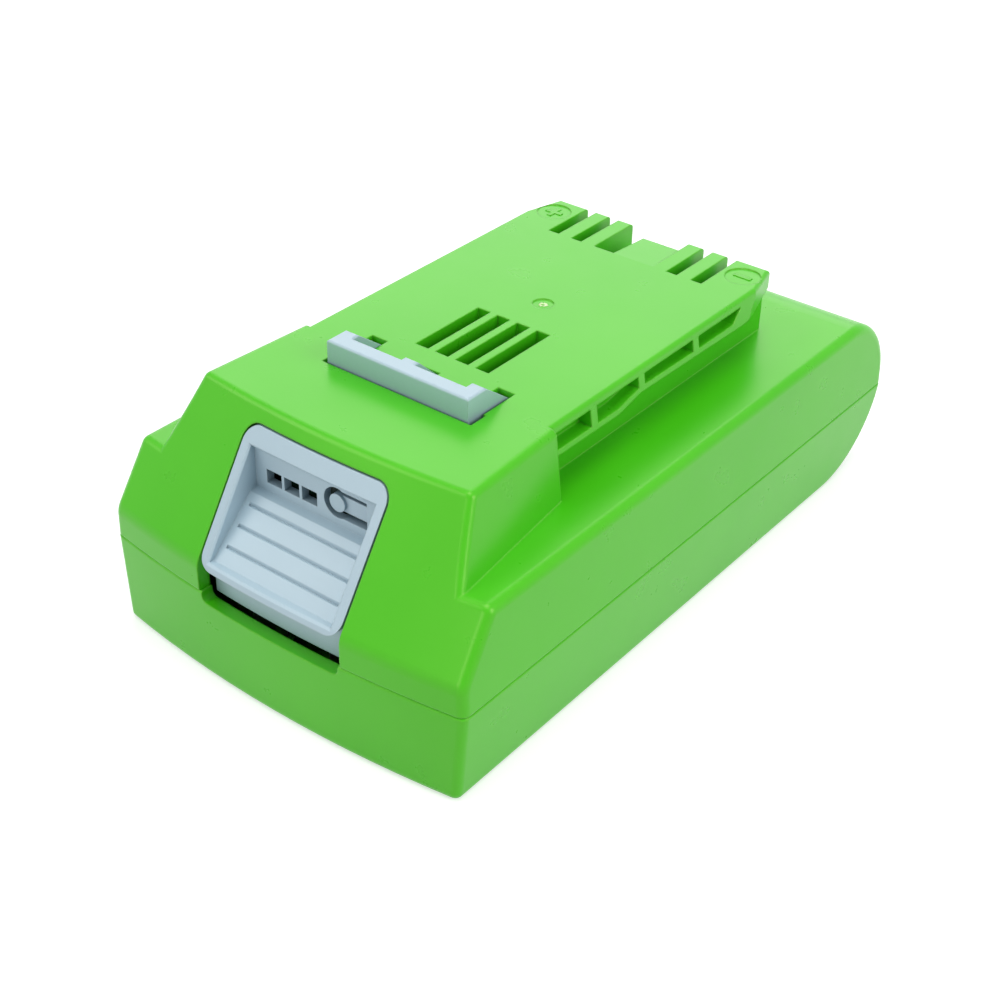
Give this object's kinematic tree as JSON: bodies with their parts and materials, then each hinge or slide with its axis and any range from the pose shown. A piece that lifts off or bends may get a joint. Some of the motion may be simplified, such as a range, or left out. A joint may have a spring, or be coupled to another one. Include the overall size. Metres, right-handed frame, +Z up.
{
  "type": "power tool battery pack",
  "caption": "Slide-on battery pack for a cordless power tool: green two-part case with a flanged rail, contact comb and vents, and a pale grey release latch with a thumb scoop.",
  "frame": {"origin": "middle of the footprint, on the surface that the pack stands on", "axes": "+Z up through the deck, +Y from the release button at the front to the contact comb at the rear, X across the pack"},
  "size_m": [0.071, 0.1244, 0.0472],
  "materials": {
    "case_green": "satin moulded plastic, yellow-green",
    "latch_grey": "satin moulded plastic, pale blue-grey",
    "screw_steel": "zinc plated",
    "spring_steel": "bright wire",
    "holder_black": "moulded",
    "nickel": "rolled nickel strip",
    "insulator_paper": "insulating sheet",
    "circuit_board": "solder resist",
    "component_black": "moulded epoxy",
    "fuse_body": "ceramic body with plated caps",
    "contact_copper": "plated copper alloy",
    "cell_wrap": "shrink sleeve",
    "lamp_lens": "clear lens"
  },
  "bodies": {
    "case": {"board_header": "component_black", "case_screws": "screw_steel", "cell_1": "cell_wrap", "cell_2": "cell_wrap", "cell_3": "cell_wrap", "cell_4": "cell_wrap", "cell_5": "cell_wrap", "cell_holder_left": "holder_black", "cell_holder_right": "holder_black", "cell_lead_negative": "nickel", "cell_lead_positive": "nickel", "charge_lamp_1": "lamp_lens", "charge_lamp_2": "lamp_lens", "charge_lamp_3": "lamp_lens", "contact_carrier": "holder_black", "contact_negative": "contact_copper", "contact_positive": "contact_copper", "contact_signal_left": "contact_copper", "contact_signal_right": "contact_copper", "controller_chip": "component_black", "end_insulator_left": "insulator_paper", "end_insulator_right": "insulator_paper", "fuse": "fuse_body", "indicator_board": "circuit_board", "latch_spring_left": "spring_steel", "latch_spring_right": "spring_steel", "lower_housing": "case_green", "main_board": "circuit_board", "nickel_strips_left": "nickel", "nickel_strips_right": "nickel", "power_transistors": "component_black", "shunt_resistor": "component_black", "test_switch": "component_black", "thermistor": "component_black", "upper_housing": "case_green"},
    "latch": {"latch": "latch_grey"},
    "test_button": {"test_button": "latch_grey"}
  },
  "joints": [
    {"name": "latch_press", "type": "slide", "parent": "case", "child": "latch", "axis": [0, 0, -1], "range_m": [0, 0.004], "stiffness_N_per_m": 1200, "springref_m": -0.004, "deforming": ["latch_spring_left", "latch_spring_right"]},
    {"name": "test_press", "type": "hinge", "parent": "latch", "child": "test_button", "pos_m": [0.00985, -0.0497, 0.03425], "axis": [0, 0, -1], "range_deg": [0, 4.5], "stiffness_Nm_per_rad": 0.12}
  ]
}
